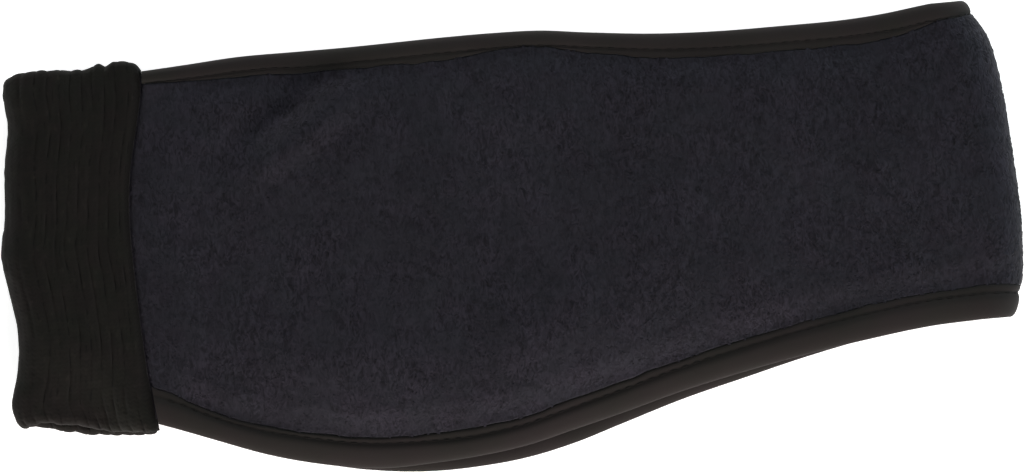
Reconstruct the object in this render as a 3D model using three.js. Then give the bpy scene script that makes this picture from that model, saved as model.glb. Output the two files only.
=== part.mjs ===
// Fleece ear-warmer headband, lying flat on its side: a loop folded into two layers.
// A fleece band runs from the seam on the lower layer, round the forehead fold and back over
// the upper layer. A doubled rib-knit panel closes the loop at the back of the head.
// Both long edges of the fleece sit in a folded binding.
// Units are millimetres. +X runs along the folded band to the forehead, +Y across it to the
// crown edge, +Z up from the surface it lies on.

import * as THREE from "three";

// Thicknesses
const FLEECE = 2.6;
const FLEECE_IN_SEAM = 1.0;
const BINDING = 4.2;
const KNIT = 4.2;
const KNIT_VALLEY = 3.1;
const CLEARANCE = 0.3;
const SEAM_GAP = 0.4;

// Heights of the middle of each layer where it is as thick as the binding
const LOWER_Z = BINDING / 2;
const UPPER_Z = 11.9;
const CROWN = 2.2;

// Places along the band
const SEAM_X = -93;
const FOREHEAD_X = 118;
const KNIT_FOLD_X = -119;
const SEAM_ALLOWANCE = 4;
const FOREHEAD_REACH = 7;
const KNIT_REACH = 6;

// Across the bindings: their widths, the cloth's raw edge inside them, and how far past them the
// fleece reaches its full thickness and then its full swell
const TOP_BINDING_WIDTH = 6.2;
const BOTTOM_BINDING_WIDTH = 7;
const RAW_EDGE = 1.25;
const FULL_THICKNESS = 1.2;
const SWELL_WIDTH = 8;

// Steps along each stretch and across each piece
const LOWER_STEPS = 10;
const FOLD_STEPS = 8;
const UPPER_STEPS = 24;
const RIBS_A_LAYER = 9;
const RIBS_ROUND_FOLD = 6;
const MIDDLE_STEPS = 8;
const RIB_ROWS = 12;

// Outer edges of the fleece band: near is the bottom edge of the upper layer, far that of the
// lower layer, which shows below it, and top the crown edge of both
const BAND_EDGES = [
  { x: -93, near: -36.6, far: -36.2, top: 50.9 },
  { x: -80, near: -41.2, far: -40.9, top: 51.6 },
  { x: -64, near: -46.9, far: -46.3, top: 52.6 },
  { x: -48, near: -51.0, far: -50.8, top: 52.7 },
  { x: -36, near: -52.6, far: -53.2, top: 52.7 },
  { x: -24, near: -52.5, far: -54.4, top: 52.9 },
  { x: -12, near: -51.7, far: -54.0, top: 53.1 },
  { x: 0, near: -50.1, far: -52.8, top: 53.2 },
  { x: 12, near: -47.2, far: -50.3, top: 52.7 },
  { x: 24, near: -44.2, far: -46.6, top: 51.1 },
  { x: 40, near: -39.9, far: -41.7, top: 49.4 },
  { x: 56, near: -36.1, far: -37.4, top: 48.7 },
  { x: 72, near: -33.2, far: -33.6, top: 48.6 },
  { x: 88, near: -30.8, far: -30.6, top: 48.8 },
  { x: 104, near: -29.1, far: -29.1, top: 50.0 },
  { x: 118, near: -28.6, far: -28.6, top: 51.0 },
];

// Rims of the knit panel, from the seam to its fold: near and far are the bottom rims of the
// upper and the lower layer
const KNIT_RIMS = [
  { x: -93, near: -38.2, far: -38.4, top: 51.4 },
  { x: -95, near: -38.5, far: -38.7, top: 53.4 },
  { x: -97, near: -38.6, far: -38.9, top: 53.9 },
  { x: -104, near: -37.4, far: -38.4, top: 53.4 },
  { x: -112, near: -34.8, far: -36.9, top: 53.5 },
  { x: -119, near: -33.4, far: -35.4, top: 52.9 },
];

// Lines that run across the band, each as an x for a y: the seam between fleece and knit, the
// middle of the cloth at the forehead fold, and the outside of the knit's fold
const SEAM_LINE = [
  { y: -40, x: -92.2 },
  { y: -22, x: -93.0 },
  { y: -5, x: -93.8 },
  { y: 10, x: -94.1 },
  { y: 18, x: -93.8 },
  { y: 27, x: -92.7 },
  { y: 35, x: -90.9 },
  { y: 45, x: -88.7 },
  { y: 54, x: -88.1 },
];
const FOREHEAD_LINE = [
  { y: -29, x: 122.3 },
  { y: -23, x: 123.4 },
  { y: -19, x: 125.2 },
  { y: -6, x: 126.4 },
  { y: 10, x: 125.8 },
  { y: 30, x: 124.3 },
  { y: 40, x: 122.5 },
  { y: 44, x: 120.3 },
  { y: 47, x: 117.8 },
  { y: 51, x: 115.9 },
];
const KNIT_FOLD_LINE = [
  { y: -38, x: -124.5 },
  { y: -33, x: -126.2 },
  { y: -29, x: -127.6 },
  { y: -22, x: -125.6 },
  { y: -12, x: -124.5 },
  { y: 0, x: -125.9 },
  { y: 8, x: -127.0 },
  { y: 18, x: -125.2 },
  { y: 30, x: -124.3 },
  { y: 40, x: -122.6 },
  { y: 48, x: -123.1 },
  { y: 54, x: -122.2 },
];

// Long creases pressed into the upper layer; a negative depth is a soft ridge
const CREASES = [
  { x0: -41, y0: 38.9, x1: -63.9, y1: 21.1, depth: 1.1, reach: 6.5 },
  { x0: -33, y0: 41, x1: -57, y1: 23.5, depth: -0.5, reach: 6 },
  { x0: -4.4, y0: 43.8, x1: -11.7, y1: 34.6, depth: 0.6, reach: 6 },
];

function smoothstep(from, to, value) {
  const t = THREE.MathUtils.clamp((value - from) / (to - from), 0, 1);
  return t * t * (3 - 2 * t);
}

// A smooth curve through a table's rows, flat beyond its ends
function tableCurve(rows, input, output) {
  const order = [...rows].sort((p, q) => p[input] - q[input]);
  const slope = (i, j) => (order[j][output] - order[i][output]) / (order[j][input] - order[i][input]);
  const last = order.length - 1;
  return (value) => {
    if (value <= order[0][input]) return order[0][output];
    if (value >= order[last][input]) return order[last][output];
    const i = order.findIndex((row) => row[input] > value) - 1;
    const span = order[i + 1][input] - order[i][input];
    const t = (value - order[i][input]) / span;
    const m0 = slope(Math.max(i - 1, 0), i + 1) * span;
    const m1 = slope(i, Math.min(i + 2, last)) * span;
    const rise = order[i + 1][output] - order[i][output];
    return order[i][output] + t * m0 + t * t * (3 * rise - 2 * m0 - m1) + t ** 3 * (m0 + m1 - 2 * rise);
  };
}

const nearEdge = tableCurve(BAND_EDGES, "x", "near");
const farEdge = tableCurve(BAND_EDGES, "x", "far");
const topEdge = tableCurve(BAND_EDGES, "x", "top");
const knitNear = tableCurve(KNIT_RIMS, "x", "near");
const knitFar = tableCurve(KNIT_RIMS, "x", "far");
const knitTop = tableCurve(KNIT_RIMS, "x", "top");
const seamX = tableCurve(SEAM_LINE, "y", "x");
const foreheadX = tableCurve(FOREHEAD_LINE, "y", "x");
const knitFoldX = tableCurve(KNIT_FOLD_LINE, "y", "x");

// A place on a loop is { x, turn }: turn is -PI/2 on the lower layer, PI/2 on the upper one and
// between them round the fold, and x is the nominal place along the layer
const LOWER = -Math.PI / 2;
const UPPER = Math.PI / 2;

// A value of the lower layer blended into one of the upper layer
function overLayers(turn, lower, upper) {
  return THREE.MathUtils.lerp(lower, upper, (1 + Math.sin(turn)) / 2);
}

function bandEdges({ x, turn }) {
  return { bottom: overLayers(turn, farEdge(x), nearEdge(x)), top: topEdge(x) };
}

function knitRims({ x, turn }) {
  return { bottom: overLayers(turn, knitFar(x), knitNear(x)), top: knitTop(x) };
}

// How far a point is in from the inner side of the nearer binding
function beyondBinding(x, y, turn) {
  const { bottom, top } = bandEdges({ x, turn });
  return Math.min(y - bottom - BOTTOM_BINDING_WIDTH, top - y - TOP_BINDING_WIDTH);
}

function creaseDepth(x, y) {
  let sum = 0;
  for (const { x0, y0, x1, y1, depth, reach } of CREASES) {
    const along = new THREE.Vector2(x1 - x0, y1 - y0);
    const from = new THREE.Vector2(x - x0, y - y0);
    const share = THREE.MathUtils.clamp(from.dot(along) / along.lengthSq(), 0, 1);
    const distance = from.sub(along.multiplyScalar(share)).length();
    sum += depth * (1 - smoothstep(0, reach, distance));
  }
  return sum;
}

// The fleece rests its whole underside, so its middle drops inside the thicker bindings
function lowerHeight(x, y) {
  const inside = smoothstep(CLEARANCE, SWELL_WIDTH, beyondBinding(x, y, LOWER));
  const fromSeam = smoothstep(SEAM_X + 1, SEAM_X + 12, x);
  return LOWER_Z - inside * fromSeam * (BINDING - FLEECE) / 2;
}

// The upper layer swells between its bindings and stays a little lower along the middle
function upperHeight(x, y) {
  const depth = beyondBinding(x, y, UPPER);
  const swell = smoothstep(CLEARANCE, SWELL_WIDTH, depth) - 0.3 * smoothstep(10, 32, depth);
  const fromSeam = smoothstep(SEAM_X + 1, SEAM_X + 14, x);
  return UPPER_Z + CROWN * swell * fromSeam - creaseDepth(x, y);
}

// Middle of the fleece at a place on the loop and a y across it
function bandPoint({ x, turn }, y) {
  const atSeam = 1 - smoothstep(SEAM_X + 3, SEAM_X + 38, x);
  const atFold = smoothstep(FOREHEAD_X - 38, FOREHEAD_X, x);
  const low = lowerHeight(x, y);
  const high = upperHeight(x, y);
  return new THREE.Vector3(
    x + atSeam * (seamX(y) - SEAM_X) + atFold * (foreheadX(y) - FOREHEAD_REACH - FOREHEAD_X)
      + FOREHEAD_REACH * Math.cos(turn),
    y,
    (low + high) / 2 + Math.sin(turn) * (high - low) / 2,
  );
}

// Middle of the knit at a place on its own loop, which folds at the back
function knitPoint({ x, turn }, y) {
  const atSeam = (x - KNIT_FOLD_X) / (SEAM_X - KNIT_FOLD_X);
  const foldCentre = knitFoldX(y) + KNIT / 2 + KNIT_REACH;
  return new THREE.Vector3(
    x + atSeam * (seamX(y) - SEAM_X) + (1 - atSeam) * (foldCentre - KNIT_FOLD_X)
      - KNIT_REACH * Math.cos(turn),
    y,
    (LOWER_Z + UPPER_Z) / 2 + Math.sin(turn) * (UPPER_Z - LOWER_Z) / 2,
  );
}

// The two loops: the middle of the cloth, and the way along X that their fold faces
const fleeceLoop = { middle: bandPoint, foldSide: 1 };
const knitLoop = { middle: knitPoint, foldSide: -1 };

// A point lifted off a loop's middle by a distance, positive to the outside of the loop
function lifted({ middle, foldSide }, place, y, lift) {
  const small = 0.02;
  const onLayer = Math.abs(Math.cos(place.turn)) < 1e-6;
  const walk = (step) => (
    onLayer ? middle({ ...place, x: place.x + step }, y) : middle({ ...place, turn: place.turn + step }, y)
  );
  const along = walk(small).sub(walk(-small));
  const across = middle(place, y + small).sub(middle(place, y - small));
  const out = along.cross(across).normalize();
  const facing = out.x * foldSide * Math.cos(place.turn) + out.z * Math.sin(place.turn);
  return middle(place, y).addScaledVector(out, Math.sign(facing) * lift);
}

function evenly(count, from, to) {
  return Array.from({ length: count + 1 }, (_, i) => THREE.MathUtils.lerp(from, to, i / count));
}

// Places from the lower seam round the fold to the upper seam
function loopPlaces(lowerXs, foldX, foldSteps, upperXs) {
  const round = evenly(foldSteps, LOWER, UPPER).slice(1, -1);
  return [
    ...lowerXs.map((x) => ({ x, turn: LOWER })),
    ...round.map((turn) => ({ x: foldX, turn })),
    ...upperXs.map((x) => ({ x, turn: UPPER })),
  ];
}

// Triangles that close a ring whose points face each other in pairs, counted from both of its ends
function pairedCap(size) {
  const cap = [];
  for (let a = 0; a < size / 2 - 1; a += 1) {
    const b = size - 1 - a;
    cap.push([a, a + 1, b], [a + 1, b - 1, b]);
  }
  return cap;
}

// Triangles that close any flat outline, wound the way the outline runs
function outlineCap(outline) {
  const area = (points) => THREE.ShapeUtils.area(points);
  return THREE.ShapeUtils.triangulateShape(outline, []).map((triangle) => {
    const same = area(outline) * area(triangle.map((i) => outline[i])) > 0;
    return same ? triangle : [...triangle].reverse();
  });
}

// A closed body through rings that all have the same number of points, with a cap at both ends
function loftRings(rings, cap) {
  const size = rings[0].length;
  const positions = rings.flat().flatMap((p) => [p.x, p.y, p.z]);
  const index = [];
  for (let ring = 0; ring + 1 < rings.length; ring += 1) {
    for (let i = 0; i < size; i += 1) {
      const a = ring * size + i;
      const b = ring * size + ((i + 1) % size);
      index.push(a, b, b + size, a, b + size, a + size);
    }
  }
  const last = (rings.length - 1) * size;
  for (const [a, b, c] of cap) {
    index.push(a, c, b, last + a, last + b, last + c);
  }
  const geometry = new THREE.BufferGeometry();
  geometry.setAttribute("position", new THREE.Float32BufferAttribute(positions, 3));
  geometry.setIndex(signedVolume(positions, index) < 0 ? index.reverse() : index);
  geometry.computeVertexNormals();
  return geometry;
}

function signedVolume(positions, index) {
  const corner = (i) => new THREE.Vector3().fromArray(positions, 3 * index[i]);
  let sum = 0;
  for (let i = 0; i < index.length; i += 3) {
    sum += corner(i).dot(corner(i + 1).cross(corner(i + 2))) / 6;
  }
  return sum;
}

// Places shared by the fleece and its bindings, so that their walls stay parallel
const firstX = SEAM_X + SEAM_GAP;
const bandPlaces = loopPlaces(
  evenly(LOWER_STEPS, firstX, FOREHEAD_X),
  FOREHEAD_X,
  FOLD_STEPS,
  evenly(UPPER_STEPS, FOREHEAD_X, firstX),
);

// Fleece band: full thickness between the bindings, pressed thin inside them and in the seam
function fleeceGeometry() {
  const fullX = firstX + FULL_THICKNESS;
  const tongueX = SEAM_X - SEAM_ALLOWANCE;
  const places = [
    { x: tongueX, turn: LOWER },
    bandPlaces[0],
    { x: fullX, turn: LOWER },
    ...bandPlaces.slice(1, -1),
    { x: fullX, turn: UPPER },
    bandPlaces.at(-1),
    { x: tongueX, turn: UPPER },
  ];
  const rowsAt = (place) => {
    const { bottom, top } = bandEdges(place);
    const low = bottom + BOTTOM_BINDING_WIDTH;
    const high = top - TOP_BINDING_WIDTH;
    const risers = [CLEARANCE, FULL_THICKNESS, SWELL_WIDTH / 2];
    return [
      bottom + RAW_EDGE,
      ...risers.map((step) => low + step),
      ...evenly(MIDDLE_STEPS, low + SWELL_WIDTH + 1, high - SWELL_WIDTH - 1),
      ...risers.map((step) => high - step).reverse(),
      top - RAW_EDGE,
    ];
  };
  const halfAt = (place, row, count) => {
    const pressed = row < 2 || row > count - 3 || place.x <= firstX;
    return (pressed ? FLEECE_IN_SEAM : FLEECE) / 2;
  };
  const outlineAt = (place) => {
    const rows = rowsAt(place);
    const half = rows.map((_, row) => halfAt(place, row, rows.length));
    const outer = rows.map((y, row) => ({ y, lift: half[row] }));
    const inner = rows.map((y, row) => ({ y, lift: -half[row] })).reverse();
    return [...outer, ...inner];
  };
  const rings = places.map((place) => (
    outlineAt(place).map(({ y, lift }) => lifted(fleeceLoop, place, y, lift))
  ));
  return loftRings(rings, pairedCap(rings[0].length));
}

// Binding section: inward is measured from the band's outer edge as a share of the width, and
// lift from the middle of the cloth. A full roll, a stitched groove and a flat flange, with a
// slot inside for the fleece.
function bindingOutline(width) {
  const half = BINDING / 2;
  const slot = FLEECE_IN_SEAM / 2 + CLEARANCE;
  const side = [
    { inward: width, lift: slot + 0.7 },
    { inward: 0.88 * width, lift: slot + 0.85 },
    { inward: 0.76 * width, lift: slot + 0.5 },
    { inward: 0.6 * width, lift: half - 0.15 },
    { inward: 0.3 * width, lift: half },
    { inward: 0.07 * width, lift: 0.62 * half },
  ];
  const slotEnd = RAW_EDGE - CLEARANCE;
  const below = side.map(({ inward, lift }) => ({ inward, lift: -lift }));
  return [
    ...side,
    { inward: 0, lift: 0 },
    ...below.reverse(),
    { inward: width, lift: -slot },
    { inward: slotEnd, lift: -slot },
    { inward: slotEnd, lift: slot },
    { inward: width, lift: slot },
  ];
}

function bindingGeometry(width, edgeY) {
  const outline = bindingOutline(width);
  const rings = bandPlaces.map((place) => (
    outline.map(({ inward, lift }) => lifted(fleeceLoop, place, edgeY(place, inward), lift))
  ));
  const section = outline.map(({ inward, lift }) => new THREE.Vector2(inward, lift));
  return loftRings(rings, outlineCap(section));
}

// Rounded outline across a flat strip, with points that face each other in pairs
function stripOutline(bottom, top, half) {
  const rows = evenly(RIB_ROWS, bottom + half, top - half);
  const rim = { y: half, lift: half / 2 };
  const outer = [
    { y: rows[0] - rim.y, lift: rim.lift },
    ...rows.map((y) => ({ y, lift: half })),
    { y: rows.at(-1) + rim.y, lift: rim.lift },
  ];
  return [...outer, ...outer.map(({ y, lift }) => ({ y, lift: -lift })).reverse()];
}

// Rib-knit panel: ribs along its height, scalloped rims and, in each end, a slot that holds the
// end of the fleece
function knitGeometry() {
  const ribSpots = [0, 0.3, 0.7];
  const spotsOver = (ribs) => (
    Array.from({ length: ribs }, (_, rib) => ribSpots.map((spot) => (rib + spot) / ribs)).flat()
  );
  const crownOf = (spot) => spot % ribSpots.length !== 0;
  const layer = spotsOver(RIBS_A_LAYER);
  const across = (share) => THREE.MathUtils.lerp(SEAM_X, KNIT_FOLD_X, share);
  const round = spotsOver(RIBS_ROUND_FOLD);
  const places = [
    ...layer.map((share) => ({ x: across(share), turn: LOWER })),
    ...round.map((share) => ({ x: KNIT_FOLD_X, turn: THREE.MathUtils.lerp(LOWER, UPPER, share) })),
    ...layer.map((share) => ({ x: across(1 - share), turn: UPPER })),
    { x: SEAM_X, turn: UPPER },
  ];
  const scallop = 0.7;
  const ribRings = places.map((place, spot) => {
    const crown = crownOf(spot);
    const pinch = crown ? 0 : scallop;
    const half = (crown ? KNIT : KNIT_VALLEY) / 2;
    const { bottom, top } = knitRims(place);
    const outline = stripOutline(bottom + pinch, top - pinch, half);
    return outline.map(({ y, lift }) => lifted(knitLoop, place, y, lift));
  });
  const slotHalf = FLEECE_IN_SEAM / 2 + CLEARANCE;
  const slotOutline = (turn) => {
    const { bottom, top } = bandEdges({ x: SEAM_X, turn });
    return stripOutline(bottom, top, slotHalf);
  };
  const slotRing = (x, turn) => (
    slotOutline(turn).map(({ y, lift }) => lifted(fleeceLoop, { x, turn }, y, lift))
  );
  const deepX = SEAM_X - SEAM_ALLOWANCE - SEAM_GAP;
  const rings = [
    slotRing(deepX, LOWER),
    slotRing(SEAM_X, LOWER),
    ...ribRings,
    slotRing(SEAM_X, UPPER),
    slotRing(deepX, UPPER),
  ];
  return loftRings(rings, pairedCap(rings[0].length));
}

function namedMesh(name, geometry, color, roughness) {
  const material = new THREE.MeshStandardMaterial({ color, roughness, metalness: 0 });
  const mesh = new THREE.Mesh(geometry, material);
  mesh.name = name;
  return mesh;
}

const band = new THREE.Group();
band.add(namedMesh("fleece_band", fleeceGeometry(), "#232227", 0.95));

const bindings = new THREE.Group();
bindings.add(namedMesh(
  "top_binding",
  bindingGeometry(TOP_BINDING_WIDTH, (place, inward) => bandEdges(place).top - inward),
  "#252322",
  0.85,
));
bindings.add(namedMesh(
  "bottom_binding",
  bindingGeometry(BOTTOM_BINDING_WIDTH, (place, inward) => bandEdges(place).bottom + inward),
  "#252322",
  0.85,
));
band.add(bindings);

const headband = new THREE.Group();
headband.add(band);
headband.add(namedMesh("rib_knit_panel", knitGeometry(), "#1a1918", 0.9));

export default headband;
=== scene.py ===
"""Fleece headband lying flat: fleece with its nap, two bindings with their stitches, rib knit,
floor, lights and camera. Shapes are worked out in millimetres and written in metres.

The cloth is a folded loop. A place on it is (x, turn): turn is -90 degrees on the lower layer,
90 degrees on the upper one and between them round the fold, and x is the place along the
layer. y runs across, and a lift is a distance off the middle of the cloth, outwards."""
import math

import bpy
import numpy as np
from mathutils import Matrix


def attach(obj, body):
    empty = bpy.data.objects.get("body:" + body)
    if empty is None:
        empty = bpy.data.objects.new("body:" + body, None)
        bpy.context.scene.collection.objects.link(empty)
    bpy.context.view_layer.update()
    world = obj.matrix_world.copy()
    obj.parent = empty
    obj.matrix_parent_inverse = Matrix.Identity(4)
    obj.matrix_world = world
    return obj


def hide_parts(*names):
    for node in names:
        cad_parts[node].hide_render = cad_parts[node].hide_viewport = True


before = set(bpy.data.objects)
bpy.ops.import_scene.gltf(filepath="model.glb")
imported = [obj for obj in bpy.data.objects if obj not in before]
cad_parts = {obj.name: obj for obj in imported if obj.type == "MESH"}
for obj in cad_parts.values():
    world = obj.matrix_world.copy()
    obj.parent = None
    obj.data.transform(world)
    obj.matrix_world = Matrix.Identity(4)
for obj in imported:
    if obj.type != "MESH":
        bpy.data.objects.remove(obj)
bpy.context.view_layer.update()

MM = 0.001

# Thicknesses
FLEECE = 2.6
FLEECE_IN_SEAM = 1.0
BINDING = 4.2
KNIT = 4.2
CLEARANCE = 0.3
SEAM_GAP = 0.4

# Heights of the middle of each layer where it is as thick as the binding
LOWER_Z = BINDING / 2
UPPER_Z = 11.9
CROWN = 2.2

# Places along the band
SEAM_X = -93
FOREHEAD_X = 118
KNIT_FOLD_X = -119
SEAM_ALLOWANCE = 4
FOREHEAD_REACH = 7
KNIT_REACH = 6
FIRST_X = SEAM_X + SEAM_GAP

# From the band's outer edge to the fleece's raw edge in its slot, and how wide the swell of
# the fleece beside a binding is
RAW_EDGE = 1.25
SWELL_WIDTH = 8

# How far the upper layer's free edges hang down: the band's at the belly and at the crown, and
# the knit's at its foot and at its top
BELLY_SAG, CROWN_SAG = 5.2, 0.4
FOOT_DROOP, TOP_DROOP = 5.4, 1.5

LOWER, UPPER = -math.pi / 2, math.pi / 2
RIBS_A_LAYER, RIBS_ROUND_FOLD = 9, 6

STITCH_PITCH = 2.9
THREAD_RADIUS = 0.15

CURL_SIZE = 1.2
CURL_WIDTH = 0.7
# Painted shade on the inner side of a curl, none on its ridge and painted light on its outer side
CURL_SIDE_SHADE = np.array([-0.3, 0, 0.15])

# Points of the grids. Columns follow one another round the loop, and the fleece has two more
# at each end, inside the seams. Rows run across the band, on the outside, on the inside and
# round the knit's rims.
SEAM_COLUMNS = 2
LOWER_COLUMNS, UPPER_COLUMNS, FOLD_STEPS = 88, 330, 42
FLEECE_ROWS, FLEECE_INSIDE_ROWS = 136, 30
TAPE_LOWER_COLUMNS, TAPE_UPPER_COLUMNS = 220, 270
COLUMNS_A_RIB = 10
KNIT_ROWS, KNIT_INSIDE_ROWS, RIM_ROWS = 160, 34, 11

# Outer edges of the fleece band: x, bottom of the upper layer, bottom of the lower layer, top
BAND_EDGES = [
    (-93, -36.8, -36.4, 51.2),
    (-80, -41.7, -41.4, 51.9),
    (-64, -47.3, -46.8, 52.7),
    (-48, -51.3, -51.4, 52.7),
    (-36, -52.9, -53.7, 52.7),
    (-24, -52.7, -54.8, 52.9),
    (-12, -51.9, -54.6, 53.1),
    (0, -50.3, -53.4, 53.1),
    (12, -47.4, -50.8, 52.7),
    (24, -44.4, -47.1, 51.2),
    (40, -40.1, -42.2, 49.5),
    (56, -36.6, -38.2, 48.7),
    (72, -33.6, -34.3, 48.6),
    (88, -31.2, -31.2, 48.7),
    (104, -29.4, -29.5, 49.5),
    (118, -28.8, -28.9, 50.9),
]
# How much of each binding shows: x, from its outer edge to the groove that the stitches pull
# in, and on from there to the fleece, which swells over it in places
TOP_BINDING = [
    (-93, 3.0, 0.15), (-84, 3.4, 0.4), (-70, 3.6, 1.1), (-52, 3.7, 1.4), (-32, 3.9, 1.6),
    (-10, 4.0, 1.7), (0, 3.9, 0.5), (6, 3.8, 0.15), (14, 3.8, 0.4), (20, 3.8, 1.2),
    (30, 3.9, 1.7), (45, 4.2, 2.0), (100, 4.3, 1.9), (106, 4.3, 1.5), (112, 4.2, 0.9),
    (118, 4.2, 0.15),
]
BOTTOM_BINDING = [
    (-93, 7.2, 2.2), (-86, 6.8, 1.9), (-80, 5.9, 1.5), (-73, 5.6, 1.2), (-55, 6.5, 1.3),
    (-35, 6.5, 1.4), (-16, 5.5, 1.8), (19, 5.9, 2.0), (50, 6.0, 1.9), (105, 6.4, 2.0),
    (118, 6.4, 2.0),
]
# Half thickness of the bindings: 0 to 1 is from the outer edge to the groove, and 1 to 2 from
# there to the fleece. The first row is where the roll of the edge is full.
TOP_HALF = [
    (0.55, 2.1), (0.7, 2.08), (0.8, 1.98), (0.87, 1.82), (0.94, 1.6), (1, 1.46),
    (1.2, 1.44), (1.4, 1.5), (1.6, 1.5), (1.85, 1.38), (2, 1.16),
]
BOTTOM_HALF = [
    (0.72, 2.1), (0.8, 2.05), (0.87, 1.93), (0.92, 1.77), (0.96, 1.6), (1, 1.48),
    (1.16, 1.45), (1.35, 1.5), (1.6, 1.5), (1.85, 1.38), (2, 1.16),
]
GROOVE_HALF = 1.46
# Rims of the knit panel: x, bottom of the upper layer, bottom of the lower layer, top
KNIT_RIMS = [
    (-119, -34.3, -35.9, 53.5),
    (-117.5, -34.7, -36.7, 53.5),
    (-115.5, -35.1, -37.0, 53.3),
    (-113.5, -35.4, -37.2, 53.4),
    (-111, -36.1, -38.2, 52.9),
    (-109, -36.9, -38.4, 53.1),
    (-106, -37.5, -38.6, 52.8),
    (-103.5, -38.0, -39.0, 54.0),
    (-101.5, -38.0, -39.1, 53.2),
    (-99.5, -38.4, -39.2, 54.2),
    (-96, -38.8, -39.3, 53.8),
    (-94.2, -38.8, -39.2, 53.0),
    (-93, -38.4, -38.7, 51.6),
]
# Lines across the band, y then x: the seam, the middle of the cloth at the forehead fold, and
# the outside of the knit's fold
SEAM_LINE = [
    (-40, -91.3), (-22, -93.0), (-5, -93.8), (10, -94.1), (18, -93.8),
    (27, -92.7), (35, -90.9), (45, -88.7), (54, -88.1),
]
FOREHEAD_LINE = [
    (-29, 122.9), (-23, 124.0), (-19, 125.7), (-6, 126.6), (10, 126.1),
    (30, 124.5), (40, 122.6), (44, 120.5), (47, 118.4), (51, 116.9),
]
KNIT_FOLD_LINE = [
    (-38, -125.2), (-33, -126.9), (-29, -127.6), (-22, -125.6), (-12, -124.5), (0, -125.9),
    (8, -127.0), (18, -125.2), (30, -124.3), (40, -122.6), (48, -123.1), (54, -122.2),
]
# Creases of the upper layer: x and y of both ends, depth (below 0 is a ridge), half width
CREASES = [
    (-42, 46, -69, 29, 2.3, 9),
    (-35, 41, -62, 23.5, -2.1, 7),
    (-4.4, 43.8, -11.7, 34.6, 0.9, 5),
]


def smoothstep(low, high, value):
    t = np.clip((value - low) / (high - low), 0, 1)
    return t * t * (3 - 2 * t)


def mix(a, b, share):
    return a + (b - a) * share


def quarter_round(distance, reach):
    """0 at an edge and 1 from reach on, along a quarter of an ellipse."""
    t = np.clip(distance / reach, 0, 1)
    return np.sqrt(1 - (1 - t) ** 2)


def table_curve(rows, column=1):
    """Smooth curve through a table. Between rows it is the cubic whose slope at a row is
    (value after - value before) / (place after - place before); it is flat beyond the ends."""
    table = np.array(rows, float)
    place, value = table[:, 0], table[:, column]
    slope = np.empty_like(value)
    slope[1:-1] = (value[2:] - value[:-2]) / (place[2:] - place[:-2])
    slope[0] = (value[1] - value[0]) / (place[1] - place[0])
    slope[-1] = (value[-1] - value[-2]) / (place[-1] - place[-2])

    def curve(at):
        at = np.clip(at, place[0], place[-1])
        i = np.clip(np.searchsorted(place, at, side="right") - 1, 0, len(place) - 2)
        span = place[i + 1] - place[i]
        t = (at - place[i]) / span
        m0, m1 = slope[i] * span, slope[i + 1] * span
        rise = value[i + 1] - value[i]
        return value[i] + t * m0 + t**2 * (3 * rise - 2 * m0 - m1) + t**3 * (m0 + m1 - 2 * rise)

    return curve


near_edge = table_curve(BAND_EDGES, 1)
far_edge = table_curve(BAND_EDGES, 2)
top_edge = table_curve(BAND_EDGES, 3)
knit_near = table_curve(KNIT_RIMS, 1)
knit_far = table_curve(KNIT_RIMS, 2)
knit_top = table_curve(KNIT_RIMS, 3)
seam_x = table_curve(SEAM_LINE)
forehead_x = table_curve(FOREHEAD_LINE)
knit_fold_x = table_curve(KNIT_FOLD_LINE)
top_roll, top_flange = table_curve(TOP_BINDING, 1), table_curve(TOP_BINDING, 2)
bottom_roll, bottom_flange = table_curve(BOTTOM_BINDING, 1), table_curve(BOTTOM_BINDING, 2)


def noise(seed, u, v, size):
    """Smooth random values from -1 to 1, one per cell of a given size, blended between cells
    with the weight t^2 (3 - 2 t)."""
    lattice = np.random.default_rng(seed).uniform(-1, 1, (256, 256))
    a, b = np.broadcast_arrays(np.asarray(u) / size, np.asarray(v) / size)
    i, j = np.floor(a).astype(int), np.floor(b).astype(int)
    s, t = smoothstep(0, 1, a - i), smoothstep(0, 1, b - j)

    def corner(di, dj):
        return lattice[(i + di) % 256, (j + dj) % 256]

    return mix(mix(corner(0, 0), corner(1, 0), s), mix(corner(0, 1), corner(1, 1), s), t)


def band_edges(x, turn):
    """The y of the band's bottom and top edge."""
    share = (1 + np.sin(turn)) / 2
    return mix(far_edge(x), near_edge(x), share), top_edge(x)


def flange_width(x, turn, is_top):
    """The flange's width in the table, a little wider and narrower by turns."""
    width = top_flange(x) if is_top else bottom_flange(x)
    return width * (1 + 0.14 * noise(27 + is_top, x, 3 * turn, 4))


def fleece_edges(x, turn):
    """Where the fleece meets the bottom and the top binding."""
    bottom, top = band_edges(x, turn)
    low = bottom + bottom_roll(x) + flange_width(x, turn, False)
    return low, top - top_roll(x) - flange_width(x, turn, True)


def beyond_binding(x, turn, y):
    """How far a point is in from the inner side of the nearer binding."""
    low, high = fleece_edges(x, turn)
    return np.minimum(y - low, high - y)


def crease_depth(x, y):
    """Sum over the creases of depth x (1 - smoothstep(0, reach, distance to the crease)), which
    fades towards both ends of a crease as 1 - 0.7 (1 - 2 share)^2."""
    total = 0
    for x0, y0, x1, y1, depth, reach in CREASES:
        along = np.array([x1 - x0, y1 - y0])
        share = np.clip(((x - x0) * along[0] + (y - y0) * along[1]) / (along @ along), 0, 1)
        distance = np.hypot(x - x0 - share * along[0], y - y0 - share * along[1])
        fade = 1 - 0.7 * (1 - 2 * share) ** 2
        total = total + depth * fade * (1 - smoothstep(0, reach, distance))
    return total


def lower_height(x, y):
    """Height of the lower layer's middle, which comes down where the fleece is thinner than the
    binding that holds its edge."""
    inside = smoothstep(CLEARANCE, SWELL_WIDTH, beyond_binding(x, LOWER, y))
    return LOWER_Z - inside * smoothstep(SEAM_X + 1, SEAM_X + 12, x) * (BINDING - FLEECE) / 2


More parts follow.
